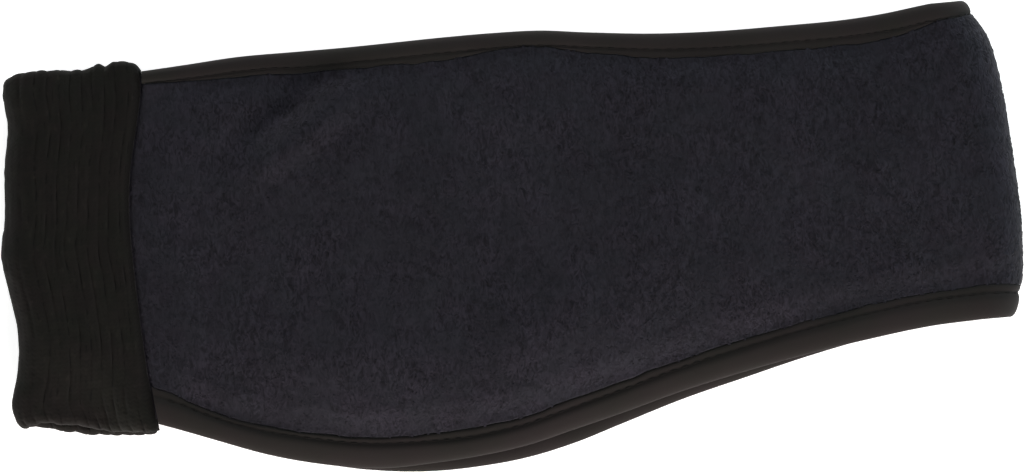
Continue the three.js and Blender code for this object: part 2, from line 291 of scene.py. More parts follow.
def sag(x, y):
    """How far the upper layer's free edges hang down, most at the belly and only a little at
    the crown: each sag x (1 - smoothstep of the distance from its edge)."""
    belly = smoothstep(-88, -45, x) * (1 - smoothstep(10, 95, x))
    crown = smoothstep(-80, -20, x) * (1 - smoothstep(40, 100, x))
    below = 1 - smoothstep(-4, 27, y - near_edge(x))
    above = 1 - smoothstep(-2, 14, top_edge(x) - y)
    return BELLY_SAG * belly * below + CROWN_SAG * crown * above


def upper_height(x, y):
    """Height of the upper layer's middle: the swell beside the bindings and soft unevenness are
    added, and the sag and the creases are taken away."""
    depth = beyond_binding(x, UPPER, y)
    swell = 0.8 * smoothstep(CLEARANCE, SWELL_WIDTH, depth) + 0.35 * smoothstep(2, 22, depth)
    from_seam = smoothstep(SEAM_X + 1, SEAM_X + 14, x)
    soft = 0.4 * noise(3, x, y, 19) + 0.15 * noise(4, x, y, 8)
    rise = CROWN * swell + soft * smoothstep(0, 6, depth)
    return UPPER_Z + rise * from_seam - sag(x, y) - crease_depth(x, y)


def band_middle(x, turn, y):
    """Middle of the fleece: (x + shift at the seam + shift at the fold + reach x cos turn, y,
    half way between the layers + sin turn x half their distance)."""
    low, high = lower_height(x, y), upper_height(x, y)
    at_seam = 1 - smoothstep(SEAM_X + 3, SEAM_X + 38, x)
    at_fold = smoothstep(FOREHEAD_X - 38, FOREHEAD_X, x)
    px = (
        x
        + at_seam * (seam_x(y) - SEAM_X)
        + at_fold * (forehead_x(y) - FOREHEAD_REACH - FOREHEAD_X)
        + FOREHEAD_REACH * np.cos(turn)
    )
    pz = (low + high) / 2 + np.sin(turn) * (high - low) / 2
    return np.stack(np.broadcast_arrays(px, y, pz), -1)


def knit_middle(x, turn, y):
    """Middle of the knit, which folds at the back: the seam's line at one end, blended into
    the fold's line at the other. The upper layer droops at its foot and a little at its top,
    by droop x (1 - smoothstep of the distance from that rim)."""
    at_seam = (x - KNIT_FOLD_X) / (SEAM_X - KNIT_FOLD_X)
    fold_centre = knit_fold_x(y) + KNIT / 2 + KNIT_REACH
    px = (
        x
        + at_seam * (seam_x(y) - SEAM_X)
        + (1 - at_seam) * (fold_centre - KNIT_FOLD_X)
        - KNIT_REACH * np.cos(turn)
    )
    at_foot = 1 - smoothstep(0, 22, y - knit_near(x))
    at_top = 1 - smoothstep(0, 9, knit_top(x) - y)
    from_seam = SEAM_X - x
    share = smoothstep(0.5, 13, from_seam) * (1 - 0.4 * smoothstep(15, 24, from_seam))
    droop = (FOOT_DROOP * at_foot + TOP_DROOP * at_top) * share
    high = UPPER_Z - droop * (1 + np.sin(turn)) / 2
    pz = (LOWER_Z + high) / 2 + np.sin(turn) * (high - LOWER_Z) / 2
    return np.stack(np.broadcast_arrays(px, y, pz), -1)


def frame_at(middle, side, x, turn, y):
    """Points on a loop's middle, and their unit normals out of the loop: the cross product of
    the steps along and across, turned to the outside."""
    step = 0.02
    on_layer = np.abs(np.cos(turn)) < 1e-6
    dx, dturn = np.where(on_layer, step, 0), np.where(on_layer, 0, step)
    along = middle(x + dx, turn + dturn, y) - middle(x - dx, turn - dturn, y)
    across = middle(x, turn, y + step) - middle(x, turn, y - step)
    out = np.cross(along, across)
    out /= np.linalg.norm(out, axis=-1, keepdims=True)
    facing = out[..., 0] * side * np.cos(turn) + out[..., 2] * np.sin(turn)
    return middle(x, turn, y), out * np.sign(facing)[..., None]


def loop_places(lower_xs, fold_x, fold_steps, upper_xs):
    """Columns of x and turn from the lower seam round the fold to the upper seam."""
    turns = np.linspace(LOWER, UPPER, fold_steps + 1)[1:-1]
    x = np.concatenate([lower_xs, np.full(len(turns), fold_x), upper_xs])
    turn = np.concatenate([np.full(len(lower_xs), LOWER), turns, np.full(len(upper_xs), UPPER)])
    return x[:, None], turn[:, None]


def walked(middle, x, turn):
    """Distance along the middle of the loop, at y = 0, for each place."""
    points = middle(x, turn, np.zeros_like(x))[:, 0]
    steps = np.linalg.norm(np.diff(points, axis=0), axis=1)
    return np.concatenate([[0], np.cumsum(steps)])[:, None]


def add_piece(name, mesh):
    piece = bpy.data.objects.new(name, mesh)
    bpy.context.scene.collection.objects.link(piece)
    return piece


def smooth_piece(name, points, faces):
    """A piece with smooth faces through points in millimetres."""
    mesh = bpy.data.meshes.new(name)
    mesh.from_pydata((points.reshape(-1, 3) * MM).tolist(), [], faces)
    mesh.polygons.foreach_set("use_smooth", np.ones(len(faces), bool))
    mesh.update()
    return add_piece(name, mesh)


def ring_mesh(name, rings, weave=None):
    """A closed body through rings (stations, points, 3) in millimetres: a quad between each
    two neighbours of two neighbouring rings, and one face over each end. weave is a UV for
    each point."""
    stations, size = rings.shape[:2]
    k, i = np.meshgrid(np.arange(stations - 1), np.arange(size), indexing="ij")
    a, b = k * size + i, k * size + (i + 1) % size
    quads = np.stack([a, b, b + size, a + size], -1).reshape(-1, 4)
    flat = rings.reshape(-1, 3)
    p, q, r = flat[quads[:, 0]], flat[quads[:, 1]], flat[quads[:, 2]]
    inwards = np.einsum("ij,ij->", p, np.cross(q, r)) < 0
    caps = [list(range(size))[::-1], list(range((stations - 1) * size, stations * size))]
    faces = quads.tolist() + caps
    if inwards:
        faces = [face[::-1] for face in faces]
    piece = smooth_piece(name, rings, faces)
    if weave is not None:
        corners = np.empty(len(piece.data.loops), int)
        piece.data.loops.foreach_get("vertex_index", corners)
        layer = piece.data.uv_layers.new(name="weave")
        layer.data.foreach_set("uv", weave.reshape(-1, 2)[corners].ravel())
    return piece


def add_values(piece, name, values):
    """A value for each point of a piece, which its material reads by name."""
    attribute = piece.data.attributes.new(name, "FLOAT", "POINT")
    attribute.data.foreach_set("value", np.ravel(values))


def nap_relief(s, y):
    """Small nubs: two sizes of ridge noise, 1 - |noise|, and a soft swell under them."""
    fine = 1 - 2 * np.abs(noise(11, s, y, 0.95))
    coarse = 1 - 2 * np.abs(noise(12, s + 0.4 * y, y, 1.7))
    return 0.04 * fine + 0.08 * coarse + 0.14 * noise(13, s, y, 4)


def fleece_places():
    """Columns of the fleece, with those inside the seam at either end."""
    in_seam = [SEAM_X - SEAM_ALLOWANCE, SEAM_X]
    lower = np.concatenate([in_seam, np.linspace(FIRST_X, FOREHEAD_X, LOWER_COLUMNS)])
    upper = np.concatenate([np.linspace(FOREHEAD_X, FIRST_X, UPPER_COLUMNS), in_seam[::-1]])
    return loop_places(lower, FOREHEAD_X, FOLD_STEPS, upper)


def fleece_rows(x, turn):
    """The y of each row of the outside of the fleece, close together beside the bindings."""
    bottom, top = band_edges(x, turn)
    low, high = fleece_edges(x, turn)
    first, last = bottom + RAW_EDGE, top - RAW_EDGE
    rise = np.array([-0.05, 0.1, 0.25, 0.45, 0.7, 1.0, 1.4, 1.9, 2.4])
    inner = mix(low + 3, high - 3, np.linspace(0, 1, FLEECE_ROWS))
    rows = [first, (first + low) / 2, low + rise, inner, high - rise[::-1], (high + last) / 2, last]
    return np.concatenate(rows, axis=1), low, high


def fleece_half(x, turn, y, low, high):
    """Half the fleece's thickness: thin in the bindings and the seam, and a quarter round
    from there up to the full thickness."""
    edge = quarter_round(np.minimum(y - low, high - y), mix(0.5, 0.15, np.cos(turn)))
    seam = quarter_round(x - FIRST_X, 1.6)
    return FLEECE_IN_SEAM / 2 + (FLEECE - FLEECE_IN_SEAM) / 2 * edge * seam


def make_fleece():
    """Fleece band: a ring round the cloth for each place along the loop. The outside lies at
    half the thickness + the nap's relief + the puckers + a swell over the top binding where
    its flange is narrow, and the inside at half the thickness."""
    x, turn = fleece_places()
    rows, low, high = fleece_rows(x, turn)
    s = walked(band_middle, x, turn)
    half = fleece_half(x, turn, rows, low, high)
    middle, out = frame_at(band_middle, 1, x, turn, rows)
    puff = (half - FLEECE_IN_SEAM / 2) / ((FLEECE - FLEECE_IN_SEAM) / 2)
    hidden = 1 - np.clip(top_flange(x) / 1.3, 0, 1)
    over = 0.5 * hidden * np.exp(-np.clip(high - rows, 0, None) / 3) * puff
    strength = mix(0.35, 1, turn > LOWER + 0.1) * mix(1, 0.5, np.cos(turn))
    relief = nap_relief(s, rows) * puff * strength
    pucker = puckers(x, turn, rows, high)
    outer = middle + out * (half + relief + pucker + over)[..., None]
    under = np.linspace(0, 1, FLEECE_INSIDE_ROWS)
    inner_y = mix(rows[:, :1], rows[:, -1:], under)[:, ::-1]
    inner_half = fleece_half(x, turn, inner_y, low, high)
    inner_middle, inner_out = frame_at(band_middle, 1, x, turn, inner_y)
    inner = inner_middle - inner_out * inner_half[..., None]
    rings = np.concatenate([outer, inner], axis=1)
    rings[..., 2] = np.maximum(rings[..., 2], 0.02)
    piece = ring_mesh("fleece", rings)
    return piece, outer, out, puff


def puckers(x, turn, y, high):
    """Small folds that run in from the top binding where it is pulled round the crown."""
    near = np.exp(-np.clip(high - y, 0, None) / 5)
    where = smoothstep(-45, -10, x) * (1 - smoothstep(25, 60, x)) * (turn > 0)
    return 0.1 * near * where * np.sin(x / 0.95 + 1.5 * noise(21, x, y, 7))


def binding_section(table):
    """Places from 0 to 2 and lifts over one side of the section: a quarter of an ellipse from
    the outer edge, and then the table."""
    angle = np.radians(np.linspace(0, 90, 12))[:-1]
    roll, full = table[0]
    spans = (roll, 0.9, 7), (0.92, 1.2, 15), (1.3, 2, 7)
    inner = np.concatenate([np.linspace(*span) for span in spans])
    part = np.concatenate([roll * (1 - np.cos(angle)), inner])
    lift = np.concatenate([full * np.sin(angle), table_curve(table)(inner)])
    return part, lift


def make_binding(name, is_top):
    """Binding: a ring for each place along the loop, over the outside from the fleece to the
    outer edge, back over the inside, and round the slot that takes the fleece's raw edge. The
    lift is the table's, a little uneven, and swells by 0.04 cos(2 pi s / pitch) in the groove
    between the stitches."""
    lower = np.linspace(FIRST_X, FOREHEAD_X, TAPE_LOWER_COLUMNS)
    upper = np.linspace(FOREHEAD_X, FIRST_X, TAPE_UPPER_COLUMNS)
    x, turn = loop_places(lower, FOREHEAD_X, FOLD_STEPS, upper)
    s = walked(band_middle, x, turn)
    roll = top_roll(x) if is_top else bottom_roll(x)
    flange = flange_width(x, turn, is_top)
    part, half = binding_section(TOP_HALF if is_top else BOTTOM_HALF)
    lift = np.where(part > 1, mix(GROOVE_HALF, half, np.clip(flange, 0.1, 1)), half)
    lift = lift + 0.1 * np.cos(turn) * smoothstep(1.1, 1.5, part)
    stitch = np.cos(2 * math.pi * s / STITCH_PITCH)
    lift = lift * (1 + 0.04 * noise(37 + is_top, s, 0, 11))
    lift = lift + 0.04 * stitch * np.exp(-(((part - 1) / 0.07) ** 2))
    lift = lift + 0.05 * noise(35 + is_top, s, 4 * part, 3) * smoothstep(0.1, 0.5, part)
    inward = roll * np.minimum(part, 1) + flange * np.maximum(part - 1, 0)
    fill = np.zeros_like(x)
    slot = fill + FLEECE_IN_SEAM / 2 + CLEARANCE
    slot_end = fill + RAW_EDGE - CLEARANCE
    end = roll + flange
    inwards = [inward[:, ::-1], inward[:, 1:], end, slot_end, slot_end, end]
    inwards = np.concatenate(inwards, axis=1)
    lifts = np.concatenate([lift[:, ::-1], -lift[:, 1:], -slot, -slot, slot, slot], axis=1)
    bottom, top = band_edges(x, turn)
    y = top - inwards if is_top else bottom + inwards
    middle, out = frame_at(band_middle, 1, x, turn, y)
    rings = middle + out * lifts[..., None]
    rings[..., 2] = np.maximum(rings[..., 2], 0.0)
    weave = np.stack(np.broadcast_arrays(0.1 * s, 0.1 * inwards * np.sign(lifts)), -1)
    piece = ring_mesh(name, rings, weave)
    away = (inwards - roll) / (0.45 if is_top else 0.55)
    slope = 0 if is_top else 0.4 * smoothstep(0.6, 1, inwards / roll) * (inwards < roll)
    add_values(piece, "shadow", np.maximum(np.exp(-(away**2)), slope))
    return piece, (x, turn, s, roll)


def make_stitches(name, is_top, binding):
    """Thread stitches in the groove: each is a bar of 7 rings of 6 points, with t from -1 to 1
    along it, a radius R sqrt(1 - 0.9 t^4) and its ends pulled 0.3 t^4 into the cloth."""
    x, turn, s, roll = binding
    count = int(s[-1, 0] / STITCH_PITCH) - 1
    centres = (np.arange(count) + 1) * STITCH_PITCH
    t = np.linspace(-1, 1, 7)
    at = centres[:, None] + t * STITCH_PITCH * 0.38
    flat_s = s[:, 0]
    at_x = np.interp(at, flat_s, x[:, 0])
    at_turn = np.interp(at, flat_s, turn[:, 0])
    on_fold = (at_turn > LOWER + 1e-3) & (at_turn < UPPER - 1e-3)
    at_turn = np.where(on_fold, at_turn, np.where(at_turn > 0, UPPER, LOWER))
    inward = np.interp(at, flat_s, roll[:, 0])
    edge_bottom, edge_top = band_edges(at_x, at_turn)
    y = edge_top - inward if is_top else edge_bottom + inward
    middle, out = frame_at(band_middle, 1, at_x, at_turn, y)
    spine = middle + out * (GROOVE_HALF + 0.06 - 0.3 * t**4)[..., None]
    radius = THREAD_RADIUS * np.sqrt(1 - 0.9 * t**4)
    along = np.gradient(spine, axis=1)
    along /= np.linalg.norm(along, axis=-1, keepdims=True)
    aside = np.cross(along, out)
    angle = np.radians(np.arange(0, 360, 60))
    ring = (
        spine[:, :, None]
        + radius[:, None, None] * np.cos(angle)[:, None] * aside[:, :, None]
        + radius[:, None, None] * np.sin(angle)[:, None] * out[:, :, None]
    )
    return bars_mesh(name, ring)


def bars_mesh(name, rings):
    """Many small closed bars in one mesh, from rings (bars, stations, points, 3)."""
    bars, stations, size = rings.shape[:3]
    k, i = np.meshgrid(np.arange(stations - 1), np.arange(size), indexing="ij")
    a, b = k * size + i, k * size + (i + 1) % size
    quads = np.stack([a, a + size, b + size, b], -1).reshape(-1, 4)
    offset = (np.arange(bars) * stations * size)[:, None, None]
    sides = (quads + offset).reshape(-1, 4).tolist()
    first = (np.arange(size) + offset[:, 0]).tolist()
    last = (np.arange((stations - 1) * size, stations * size)[::-1] + offset[:, 0]).tolist()
    return smooth_piece(name, rings, sides + first + last)


def scatter(rng, count, seed, grid, normal, full):
    """Random places on a grid of points, in drifts, sparser towards the back and only where the
    fleece is nearly at its full thickness. Gives each place, its normal out of the cloth, and
    how far it is towards the forehead, from 0 to 1."""
    du = np.linalg.norm(np.diff(grid, axis=0)[:, :-1], axis=-1)
    dv = np.linalg.norm(np.diff(grid, axis=1)[:-1], axis=-1)
    coarse = smoothstep(-90, 30, grid[:-1, :-1, 0])
    where = grid[:-1, :-1]
    drifts = 0.6 + smoothstep(-0.25, 0.45, noise(seed, where[..., 0], where[..., 1], 9))
    weight = (du * dv * (full[:-1, :-1] > 0.8) * mix(0.7, 1, coarse) * drifts).ravel()
    pick = rng.choice(weight.size, count, p=weight / weight.sum())
    i, j = np.unravel_index(pick, du.shape)
    fu, fv = rng.random((2, count, 1))
    base = mix(mix(grid[i, j], grid[i + 1, j], fu), mix(grid[i, j + 1], grid[i + 1, j + 1], fu), fv)
    return base, normal[i, j], coarse[i, j]


def make_nap(name, count, seed, cloth, height):
    """Curls of nap on part of the fleece's outside. With t from 0 to 1 along it, a curl follows
    an arc in the surface's plane, with its size as the radius, lifted by height x
    sin(pi t)^0.7, and has a roof-shaped section. Most curls lie across the band, and they are
    smaller towards the back."""
    rng = np.random.default_rng(seed)
    base, up, forwards = scatter(rng, count, seed, *cloth)
    lean = np.cross(up, [0.0, 1.0, 0.0])
    lean /= np.linalg.norm(lean, axis=1, keepdims=True)
    cross = np.cross(up, lean)
    size = CURL_SIZE * rng.uniform(0.6, 1.5, count) * mix(0.75, 1.1, forwards)
    spread = np.where(rng.random(count) < 0.25, 2.0, 0.4)
    heading = rng.normal(0, spread) + math.pi * rng.integers(0, 2, count)
    arc = rng.uniform(0.5, 1.4, count)
    t = np.linspace(0, 1, 5)
    angle = heading[:, None] + (t - 0.5) * arc[:, None]
    to_base = np.cos(heading)[:, None] * lean + np.sin(heading)[:, None] * cross
    centre = base - size[:, None] * to_base
    radial = np.cos(angle)[..., None] * lean[:, None] + np.sin(angle)[..., None] * cross[:, None]
    rise = height * np.sin(math.pi * np.clip(t, 0.06, 0.94)) ** 0.7 - 0.03
    spine = centre[:, None] + size[:, None, None] * radial + rise[:, None] * up[:, None]
    half = CURL_WIDTH / 2 * np.array([0.4, 0.9, 1, 0.9, 0.4]) * rng.uniform(0.7, 1.25, (count, 1))
    inner = spine - half[..., None] * (radial + 0.3 * up[:, None])
    outer_side = spine + half[..., None] * (radial - 0.3 * up[:, None])
    ridge = spine + 0.15 * half[..., None] * up[:, None]
    strip = np.stack([inner, ridge, outer_side], axis=2)
    strip[..., 2] = np.maximum(strip[..., 2], 0.01)
    k, c = np.meshgrid(np.arange(len(t) - 1), np.arange(2), indexing="ij")
    a = k * 3 + c
    quads = np.stack([a, a + 3, a + 4, a + 1], -1).reshape(-1, 4)
    faces = (quads + (np.arange(count) * 3 * len(t))[:, None, None]).reshape(-1, 4)
    piece = smooth_piece(name, strip, faces.tolist())
    chance = rng.uniform(-1, 1, count)
    tone = 0.5 + 0.5 * chance * np.abs(chance)
    # Each curl's random tone, plus the painted shade and light across it
    add_values(piece, "tone", tone[:, None, None] + np.zeros((len(t), 1)) + CURL_SIDE_SHADE)
    return piece


def knit_lift(turn, rib, phase, rows):
    """Lift of the knit's outside. Over one rib, with p from 0 to 1, it rises from a sharp valley
    at 0 as a quarter of an ellipse and dips a little at 0.5, between the rib's two columns of
    stitches."""
    flat = 1 - 0.7 * np.cos(turn)
    valley = np.abs((phase + 0.5) % 1 - 0.5)
    middle_line = np.abs(phase % 1 - 0.5)
    broken = smoothstep(-0.2, 0.5, noise(43, 9 * rib, rows, 4))
    shut = smoothstep(-0.3, 0.5, noise(44, 9 * rib + 50, rows, 5))
    ridge = 0.6 * (1 - flat * (1 - quarter_round(valley, 0.42)) * mix(0.2, 0.85, shut))
    dip = 0.08 * np.exp(-((middle_line / 0.1) ** 2)) * broken * flat
    return 1.5 + ridge - dip + 0.1 * noise(45, 3 * rib, rows, 1.6)


def make_knit():
    """Rib-knit panel: a ring round the doubled knit for each place along the loop, over the
    outside, round the rim, back over the inside and round the other rim, with ribs along its
    height. At both ends the rings go on into the slots that take the fleece."""
    layer = np.linspace(0, 1, RIBS_A_LAYER * COLUMNS_A_RIB + 1)
    lower, upper = mix(SEAM_X, KNIT_FOLD_X, layer), mix(KNIT_FOLD_X, SEAM_X, layer)
    x, turn = loop_places(lower, KNIT_FOLD_X, RIBS_ROUND_FOLD * COLUMNS_A_RIB, upper)
    rib = np.arange(len(x))[:, None] / COLUMNS_A_RIB
    share = (1 + np.sin(turn)) / 2
    round_corner = np.clip(np.cos(turn), 0, 1) ** 5
    bottom = mix(knit_far(x), knit_near(x), share)
    bottom = bottom + 0.8 * np.clip(-np.sin(2 * turn), 0, 1)
    top = knit_top(x) - 1.1 * round_corner
    rows = mix(bottom + KNIT / 2, top - KNIT / 2, np.linspace(0, 1, KNIT_ROWS))
    phase = rib + 0.1 * noise(41, 6 * rib, rows, 11) + 0.05 * noise(42, 6 * rib, rows, 4)
    from_seam = smoothstep(-0.4, 3, np.abs(x - SEAM_X))
    lift = mix(1.0, knit_lift(turn, rib, phase, rows), from_seam)
    lump = 0.2 * np.abs(np.sin(math.pi * rib)) ** 0.6 + 0.18 * noise(46, rib, 0, 0.7) - 0.1
    angle = np.radians(np.linspace(0, 180, RIM_ROWS + 2))[1:-1]
    upper_y = rows[:, -1:] + (KNIT / 2 + lump) * np.sin(angle)
    lower_y = rows[:, :1] - (KNIT / 2 + np.roll(lump, 3, axis=0)) * np.sin(angle)
    round_lift = np.cos(angle)
    inner_y = mix(rows[:, :1], rows[:, -1:], np.linspace(1, 0, KNIT_INSIDE_ROWS))
    inner_rib = quarter_round(np.abs((rib + 0.5) % 1 - 0.5), 0.3)
    inner_lift = -mix(1.0, 1.5 + 0.5 * inner_rib, from_seam)
    y = np.concatenate([rows, upper_y, inner_y, lower_y], axis=1)
    lifts = np.concatenate(
        [
            lift,
            mix(lift[:, -1:], -inner_lift, (1 - round_lift) / 2) * round_lift,
            inner_lift + 0 * inner_y,
            mix(-inner_lift, lift[:, :1], (1 - round_lift[::-1]) / 2) * -round_lift,
        ],
        axis=1,
    )
    middle, out = frame_at(knit_middle, -1, x, turn, y)
    rings = middle + out * lifts[..., None]
    rings[..., 2] = np.maximum(rings[..., 2], 0.0)
    last = KNIT_ROWS - 1
    inside = np.linspace(last, 0, KNIT_INSIDE_ROWS).astype(int)
    column = phase[:, np.r_[0:KNIT_ROWS, [last] * RIM_ROWS, inside, [0] * RIM_ROWS]]
    weave = np.stack([column, y], -1)
    slots = knit_slots()
    rings = np.concatenate([slots[:2], rings, slots[2:]])
    weave = np.concatenate([weave[:1], weave[:1], weave, weave[-1:], weave[-1:]])
    piece = ring_mesh("rib_knit", rings, weave)
    # Painted shade near the seam, where the knit is in its own shadow
    seam_shade = np.exp(-(((x - SEAM_X) / 1.5) ** 2))
    for label, value in (("seam", seam_shade), ("open", np.cos(turn))):
        add_values(piece, label, np.pad(value + 0 * y, ((2, 2), (0, 0)), mode="edge"))
    return piece


def knit_slots():
    """Rings of the slots in the knit's ends, deep then at the mouth, and the other way round
    at the upper seam, with as many points as the knit's own rings."""
    deep = SEAM_X - SEAM_ALLOWANCE - SEAM_GAP
    x = np.array([deep, SEAM_X, SEAM_X, deep], float)[:, None]
    turn = np.array([LOWER, LOWER, UPPER, UPPER])[:, None]
    bottom, top = band_edges(x, turn)
    half = FLEECE_IN_SEAM / 2 + CLEARANCE
    up, down = np.linspace(0, 1, KNIT_ROWS), np.linspace(1, 0, KNIT_INSIDE_ROWS)
    share = np.concatenate([up, np.ones(RIM_ROWS), down, np.zeros(RIM_ROWS)])
    turned = np.linspace(1, -1, RIM_ROWS + 2)[1:-1]
    lifts = [np.ones(KNIT_ROWS), turned, -np.ones(KNIT_INSIDE_ROWS), -turned]
    lifts = half * np.concatenate(lifts)
    middle, out = frame_at(band_middle, 1, x, turn, mix(bottom, top, share))
    return middle + out * lifts[:, None]


class Shade:
    """Adds nodes to one material's tree and links them."""

    def __init__(self, name):
        self.material = bpy.data.materials.new(name)
        self.material.use_nodes = True
        self.tree = self.material.node_tree
        self.shader = self.tree.nodes["Principled BSDF"]

    def node(self, kind, inputs=None, **settings):
        made = self.tree.nodes.new(kind)
        for key, value in settings.items():
            setattr(made, key, value)
        for key, value in (inputs or {}).items():
            self.feed(made.inputs[key], value)
        return made

    def feed(self, socket, value):
        if isinstance(value, bpy.types.NodeSocket):
            self.tree.links.new(value, socket)
        else:
            socket.default_value = value

    def place(self, scale=(1, 1, 1)):
        return self.stretch(self.node("ShaderNodeTexCoord").outputs["Object"], scale)

    def stretch(self, vector, scale):
        return self.node("ShaderNodeMapping", {"Vector": vector, "Scale": scale}).outputs["Vector"]

    def weave(self):
        return self.node("ShaderNodeUVMap", uv_map="weave").outputs["UV"]

    def value(self, name):
        """A value that the piece has for each of its points."""
        return self.node("ShaderNodeAttribute", attribute_name=name).outputs["Fac"]

    def math(self, operation, *values):
        made = self.node("ShaderNodeMath", operation=operation)
        for socket, value in zip(made.inputs, values):
            self.feed(socket, value)
        return made.outputs[0]

    def times(self, a, b):
        return self.math("MULTIPLY", a, b)

    def linear(self, value, slope, start=1.0):
        """value x slope + start"""
        return self.math("MULTIPLY_ADD", value, slope, start)

    def ramp(self, value, start, stop):
        """0 below start and 1 above stop, or the other way round, with a smooth step between."""
        inputs = {"Value": value, "From Min": start, "From Max": stop}
        made = self.node("ShaderNodeMapRange", inputs, interpolation_type="SMOOTHSTEP")
        return made.outputs["Result"]

    def noise(self, vector, scale, detail=2.0, distortion=0.0):
        inputs = {"Vector": vector, "Scale": scale, "Detail": detail, "Distortion": distortion}
        return self.node("ShaderNodeTexNoise", inputs).outputs["Fac"]

    def line(self, value, half_width):
        """1 where the value is a half, and 0 from half_width away from it."""
        away = self.math("ABSOLUTE", self.math("SUBTRACT", value, 0.5))
        return self.ramp(away, half_width, 0)

    def blend(self, share, a, b):
        made = self.node("ShaderNodeMix", data_type="RGBA")
        for name, value in (("Factor_Float", share), ("A_Color", a), ("B_Color", b)):
            socket = next(s for s in made.inputs if s.identifier == name)
            is_hue = isinstance(value, tuple)
            self.feed(socket, (*value, 1) if is_hue else value)
        return next(s for s in made.outputs if s.identifier == "Result_Color")

    def drift(self, hues, scale):
        """Slow change from one hue to the other, over patches lighter and darker."""
        place = self.place()
        hue = self.ramp(self.noise(place, scale, detail=2), 0.32, 0.68)
        depth = self.ramp(self.noise(place, 0.4 * scale, detail=3), 0.3, 0.7)
        return self.scale(self.blend(hue, *hues), self.linear(depth, 0.14, 0.93))

    def scale(self, colour, factor):
        made = self.node("ShaderNodeVectorMath", operation="SCALE")
        self.feed(made.inputs[0], colour)
        self.feed(made.inputs["Scale"], factor)
        return made.outputs[0]

    def bump(self, height, strength, distance, normal=None):
        inputs = {"Height": height, "Strength": strength, "Distance": distance * MM}
        made = self.node("ShaderNodeBump", inputs)
        if normal is not None:
            self.feed(made.inputs["Normal"], normal)
        return made.outputs["Normal"]

    def uniform(self, values):
        for name, value in values.items():
            self.shader.inputs[name].default_value = value

    def cloth(self, colour, normal, roughness, sheen, specular, sheen_roughness=0.5):
        self.feed(self.shader.inputs["Base Color"], colour)
        self.feed(self.shader.inputs["Normal"], normal)
        values = {
            "Roughness": roughness,
            "Sheen Weight": sheen,
            "Sheen Roughness": sheen_roughness,
            "Specular IOR Level": specular,
        }
        self.uniform(values)
        return self.material


# Each cloth's colour drifts between two hues
FLEECE_HUES = (0.0114, 0.0114, 0.0151), (0.0120, 0.0111, 0.0154)
BINDING_HUES = (0.0120, 0.0111, 0.0099), (0.0133, 0.0111, 0.0108)
KNIT_HUES = (0.0042, 0.0043, 0.0032), (0.0048, 0.0040, 0.0035)


def nap_colour(shade, tone):
    """The fleece's colour, with lighter and darker worm-shaped lines, which are where noise
    crosses a half, stronger in drifts: painted highlights on the nap's curls and painted shade
    between its tufts. Gives the colour and the lines, from -1 to 1."""
    along = shade.place((1, 0.5, 1))
    # Lighter lines are painted highlights on the curls, and darker lines are painted shade between
    # the tufts
    light = shade.line(shade.noise(along, 680, detail=1, distortion=0.8), 0.1)
    crevice_shade = shade.line(shade.noise(along, 600, detail=1, distortion=0.9), 0.1)
    drifts = shade.ramp(shade.noise(shade.place(), 110, detail=2), 0.35, 0.65)
    lines = shade.math("SUBTRACT", light, crevice_shade)
    lines = shade.times(lines, shade.linear(drifts, 0.5, 0.5))
    return shade.scale(shade.drift(FLEECE_HUES, 115), shade.linear(lines, 0.45, tone)), lines


def fleece_material():
    """Base of the nap."""
    shade = Shade("fleece")
    colour, lines = nap_colour(shade, 1.0)
    normal = shade.bump(lines, 0.3, 0.15)
    normal = shade.bump(shade.noise(shade.place(), 1500), 0.12, 0.1, normal)
    return shade.cloth(colour, normal, roughness=0.95, sheen=0.08, specular=0.05)


def nap_material():
    """The nap's tone runs from 0 to 1, and most curls have the cloth's own colour."""
    shade = Shade("nap")
    colour, lines = nap_colour(shade, shade.linear(shade.value("tone"), 0.36, 0.752))
    normal = shade.bump(lines, 0.2, 0.1)
    return shade.cloth(colour, normal, roughness=0.95, sheen=0.08, specular=0.05)


def binding_material():
    """Knitted tape on a UV in centimetres: small stitches as the product of two sine waves
    along and across it. It is a little darker in the groove."""
    shade = Shade("binding")
    shadow = shade.linear(shade.value("shadow"), -0.12)
    colour = shade.scale(shade.drift(BINDING_HUES, 70), shadow)
    rows = shade.node("ShaderNodeSeparateXYZ", {"Vector": shade.weave()}).outputs
    wales = shade.math("SINE", shade.times(rows["Y"], 2 * math.pi / 0.05))
    courses = shade.math("SINE", shade.times(rows["X"], 2 * math.pi / 0.04))
    normal = shade.bump(shade.times(wales, courses), 0.16, 0.06)
    normal = shade.bump(shade.noise(shade.place(), 1500, detail=3), 0.3, 0.08, normal)
    return shade.cloth(colour, normal, roughness=0.9, sheen=0.05, specular=0.08)


def thread_material():
    shade = Shade("thread")
    twist = shade.noise(shade.place(), 3000, detail=1)
    # The thread has the binding's hues darkened to 0.4 to 0.8 of them: painted shade of the groove
    # it lies in, varied by the twist
    colour = shade.scale(shade.drift(BINDING_HUES, 70), shade.linear(twist, 0.4, 0.4))
    normal = shade.bump(twist, 0.4, 0.05)
    return shade.cloth(colour, normal, roughness=0.85, sheen=0.03, specular=0.08)


